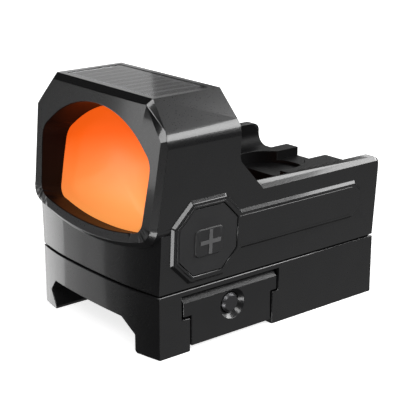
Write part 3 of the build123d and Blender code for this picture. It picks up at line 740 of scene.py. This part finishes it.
def solar_fingers(sizes):
    """Printed conductors along all cells: boxes that run along Y and are repeated evenly along X, as one
    mesh."""
    low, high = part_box("solar_cells")
    x = np.linspace(low.x, high.x, FINGERS + 2)[1:-1]
    half = sizes.finger_width / 2
    corner = np.array([[-half, 0, 0], [half, 0, 0], [half, 1, 0], [-half, 1, 0]])
    corner = np.concatenate([corner, corner + [0, 0, 1]])
    scale = np.array([1.0, high.y - low.y, sizes.finger_height])
    start = np.stack([x, np.full(FINGERS, low.y), np.full(FINGERS, high.z)], -1)
    points = start[:, None] + corner[None] * scale
    ring = [[0, 1, 5, 4], [1, 2, 6, 5], [2, 3, 7, 6], [3, 0, 4, 7]]
    side = np.array([[3, 2, 1, 0], [4, 5, 6, 7], *ring])
    faces = side[None] + len(corner) * np.arange(FINGERS)[:, None, None]
    mesh = bpy.data.meshes.new("solar_fingers")
    mesh.from_pydata(points.reshape(-1, 3).tolist(), [], faces.reshape(-1, 4).tolist())
    return link("solar_fingers", mesh)


class FINDER_OT_solar(bpy.types.Operator):
    """Finish the solar panel: backing, cells, printed conductors and cover"""

    bl_idname = "finder.solar"
    bl_label = "Solar panel"

    def execute(self, context):
        sizes, colours = context.scene.finder_sizes, context.scene.finder_colours
        silicon = grained("silicon", colours.cell, 0.32, metallic=0.3, grain=2600.0, depth=4e-7, spread=0.12)
        dress(finished_copy("solar_cells", 0.02 * MM), "root", "solar_cell", silicon, "solar_cells")
        backing = grained("laminate", colours.laminate, 0.5, grain=3500.0)
        dress(finished_copy("solar_substrate", sizes.trim_edge), "root", "solar_backing",
              backing, "solar_substrate")
        dress(solar_fingers(sizes), "root", "solar_cell", turned_metal("finger_silver",
              (0.16, 0.16, 0.17), 0.40))
        cover = clear_glass("solar_glass", (0.9, 0.9, 0.93), 0.05)
        dress(finished_copy("solar_cover", sizes.trim_edge), "root", "solar_window", cover, "solar_cover")
        return {"FINISHED"}


class FINDER_OT_adjusters(bpy.types.Operator):
    """Finish the windage and elevation screws"""

    bl_idname = "finder.adjusters"
    bl_label = "Adjusting screws"

    def execute(self, context):
        sizes, colours = context.scene.finder_sizes, context.scene.finder_colours
        steel = turned_metal("adjuster_steel", colours.steel, 0.33)
        for node, body in (("windage_screw", "windage_dial"), ("elevation_screw", "elevation_dial")):
            dress(finished_copy(node, sizes.trim_edge), body, "black_steel", steel, node)
        return {"FINISHED"}


def coin_cell():
    """Coin cell turned about its own upright axis: a can with a rounded foot, rolled over a sealing ring
    that shows as a groove, and a flat cap inside the ring. Rows are (radius, height)."""
    low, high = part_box("battery")
    radius, height = (high.x - low.x) / 2, high.z - low.z
    turn = np.linspace(0, pi / 2, 7)
    foot, roll = 0.35 * MM, 0.30 * MM
    lower = [(radius - foot + foot * sin(a), foot - foot * cos(a)) for a in turn]
    upper = [(radius - roll + roll * cos(a), height - 2 * SEAL_DEPTH - roll + roll * sin(a)) for a in turn]
    ring = [(radius - inset, height - 3 * SEAL_DEPTH) for inset in SEAL_INSETS]
    cap = [(radius - CAP_INSETS[0], height - SEAL_DEPTH), (radius - CAP_INSETS[1], height), (0, height)]
    centre = ((low.x + high.x) / 2, (low.y + high.y) / 2, low.z)
    return lathe("coin_cell", [(0, 0), *lower, *upper, *ring, *cap], centre, (0, 0, 1), turns=96)


class FINDER_OT_electronics(bpy.types.Operator):
    """Finish the circuit board, battery, contact, pad and switches"""

    bl_idname = "finder.electronics"
    bl_label = "Electronics"

    def execute(self, context):
        sizes, colours = context.scene.finder_sizes, context.scene.finder_colours
        finishes = {
            "circuit_board": ("board_green", grained("solder_mask", colours.board, 0.35, grain=2400.0)),
            "battery_contact": ("contact_brass", turned_metal("gold_leaf", colours.gold, 0.25)),
            "battery_pad": ("foam_pad", grained("foam", colours.rubber, 0.9, grain=1800.0, depth=2e-5)),
            "plus_switch": ("switch_body", grained("switch_black", colours.rubber, 0.5)),
            "minus_switch": ("switch_body", grained("switch_black_left", colours.rubber, 0.5)),
        }
        for node, (slot, material) in finishes.items():
            dress(finished_copy(node, sizes.trim_edge), "root", slot, material, node)
        dress(coin_cell(), "root", "cell_steel", turned_metal("nickel_can", colours.nickel, 0.22), "battery")
        return {"FINISHED"}


class FINDER_OT_emitter(bpy.types.Operator):
    """Finish the emitter, its holder and the carriage that shifts it"""

    bl_idname = "finder.emitter"
    bl_label = "Emitter"

    def execute(self, context):
        sizes, colours = context.scene.finder_sizes, context.scene.finder_colours
        plastic = grained("carriage_black", colours.rubber, 0.45)
        dress(finished_copy("emitter_carriage", sizes.trim_edge), "carriage", "switch_body", plastic,
              "emitter_carriage")
        dress(finished_copy("emitter_holder", sizes.trim_edge), "emitter", "switch_body",
              plastic, "emitter_holder")
        epoxy = grained("red_epoxy", colours.red, 0.12, grain=1500.0, depth=1e-7)
        dress(finished_copy("emitter_led", sizes.trim_edge), "emitter", "led_red", epoxy, "emitter_led")
        return {"FINISHED"}


# ---------------------------------------------------------------- stage

def direction(azimuth, elevation):
    """Unit vector at an azimuth from -Y towards +X, and an elevation, both in radians."""
    return Vector((sin(azimuth) * cos(elevation), -cos(azimuth) * cos(elevation), sin(elevation)))


def softbox(name, azimuths, elevations, radiance, target):
    """A flat even light that fills a span of azimuth and of elevation, in degrees, as seen from the target.
    Its power is radiance * pi * area."""
    azimuth, elevation = radians(sum(azimuths) / 2), radians(sum(elevations) / 2)
    light = bpy.data.lights.new(name, "AREA")
    light.shape = "RECTANGLE"
    light.size = 2 * LIGHT_DISTANCE * tan(radians(azimuths[1] - azimuths[0]) / 2 * cos(elevation))
    light.size_y = 2 * LIGHT_DISTANCE * tan(radians(elevations[1] - elevations[0]) / 2)
    light.energy = radiance * pi * light.size * light.size_y
    lamp = bpy.data.objects.new(name, light)
    bpy.context.scene.collection.objects.link(lamp)
    way = direction(azimuth, elevation)
    lamp.location = target + way * LIGHT_DISTANCE
    lamp.rotation_euler = way.to_track_quat("Z", "Y").to_euler()
    lamp.visible_camera = False
    return lamp


def make_floor(settings):
    """Pale floor under the object. Polished faces don't mirror it, and it lets light through from below."""
    half = settings.floor_size / 2
    span = np.linspace(-half, half, 3)
    x, y = np.meshgrid(span, span, indexing="ij")
    floor = surface("floor", np.stack([x, y, np.full_like(x, cad_box[0][2])], -1), outward=False)
    material, tree, shader, where = start_material("pale_floor")
    tinted(tree, shader, noise(tree, where, 30.0), (0.86, 0.86, 0.86), (0.88, 0.88, 0.88))
    shader.inputs["Roughness"].default_value = 0.9
    shader.inputs["Specular IOR Level"].default_value = 0.0
    shader.inputs["Emission Color"].default_value = (1.0, 1.0, 1.0, 1.0)
    shader.inputs["Emission Strength"].default_value = settings.floor_glow
    floor.data.materials.append(material)
    floor.visible_glossy = False
    floor.visible_diffuse = False
    floor.visible_shadow = False


def make_backdrop(settings):
    """Even white dome round the floor, seen by the camera alone."""
    radius = 0.48 * settings.floor_size
    a = np.linspace(0, 2 * pi, 48, endpoint=False)
    b = np.linspace(-0.1, 0.5, 12) * pi
    points = np.stack([
        radius * np.cos(b)[:, None] * np.cos(a), radius * np.cos(b)[:, None] * np.sin(a),
        np.repeat(radius * np.sin(b)[:, None], len(a), 1)], -1)
    dome = surface("backdrop", points, closed=True, outward=False)
    material, tree, shader, where = start_material("backdrop_white")
    tinted(tree, shader, noise(tree, where, 0.5), (0.0, 0.0, 0.0), (0.01, 0.01, 0.01))
    shader.inputs["Emission Color"].default_value = (1.0, 1.0, 1.0, 1.0)
    shader.inputs["Emission Strength"].default_value = 0.97
    dome.data.materials.append(material)
    dome.visible_glossy = False
    dome.visible_diffuse = False
    dome.visible_transmission = False
    dome.visible_shadow = False


def make_camera(settings, target):
    """Camera at the settings' place, looking at the target."""
    data = bpy.data.cameras.new("camera")
    data.lens = settings.camera_lens
    data.sensor_width = 36.0
    data.clip_start = 0.01
    camera = bpy.data.objects.new("camera", data)
    bpy.context.scene.collection.objects.link(camera)
    way = direction(settings.camera_azimuth, settings.camera_elevation)
    camera.location = target + way * settings.camera_distance
    camera.rotation_euler = way.to_track_quat("Z", "Y").to_euler()
    bpy.context.scene.camera = camera


class FINDER_OT_stage(bpy.types.Operator):
    """Set the floor, backdrop, soft lights and camera"""

    bl_idname = "finder.stage"
    bl_label = "Stage"

    def execute(self, context):
        settings = context.scene.finder_stage
        make_camera(settings, Vector(LOOK_AT) * MM)
        make_floor(settings)
        make_backdrop(settings)
        world = bpy.data.worlds.new("even_light")
        world.use_nodes = True
        background = world.node_tree.nodes["Background"]
        background.inputs["Color"].default_value = (1.0, 1.0, 1.0, 1.0)
        background.inputs["Strength"].default_value = settings.ambient
        context.scene.world = world
        context.scene.view_settings.view_transform = "Standard"
        middle = Vector((0.0, 0.0, LIGHT_HEIGHT))
        for name, azimuths, elevations, radiance in SOFTBOXES:
            softbox(name, azimuths, elevations, radiance, middle)
        return {"FINISHED"}


PARTS = (FINDER_OT_body, FINDER_OT_clamp, FINDER_OT_buttons, FINDER_OT_optics, FINDER_OT_solar,
         FINDER_OT_adjusters, FINDER_OT_electronics, FINDER_OT_emitter, FINDER_OT_stage)


class FINDER_PT_panel(bpy.types.Panel):
    """Lists the steps that build the finder, and its settings"""

    bl_idname = "FINDER_PT_panel"
    bl_label = "Red Dot Finder"
    bl_space_type = "VIEW_3D"
    bl_region_type = "UI"
    bl_category = "Finder"

    def draw(self, context):
        column = self.layout.column()
        for part in PARTS:
            column.operator(part.bl_idname)
        for group in (context.scene.finder_sizes, context.scene.finder_colours, context.scene.finder_stage):
            box = self.layout.box()
            for key in group.bl_rna.properties.keys():
                if key not in ("rna_type", "name"):
                    box.prop(group, key)


GROUPS = {"finder_sizes": FinderSizes, "finder_colours": FinderColours, "finder_stage": FinderStage}


def register():
    for cls in (*GROUPS.values(), *PARTS, FINDER_PT_panel):
        bpy.utils.register_class(cls)
    for key, cls in GROUPS.items():
        setattr(bpy.types.Scene, key, PointerProperty(type=cls))


def unregister():
    for key in GROUPS:
        delattr(bpy.types.Scene, key)
    for cls in (FINDER_PT_panel, *reversed(PARTS), *GROUPS.values()):
        bpy.utils.unregister_class(cls)


def main():
    register()
    for part in PARTS:
        group, name = part.bl_idname.split(".")
        getattr(getattr(bpy.ops, group), name)()


if __name__ == "__main__":
    main()
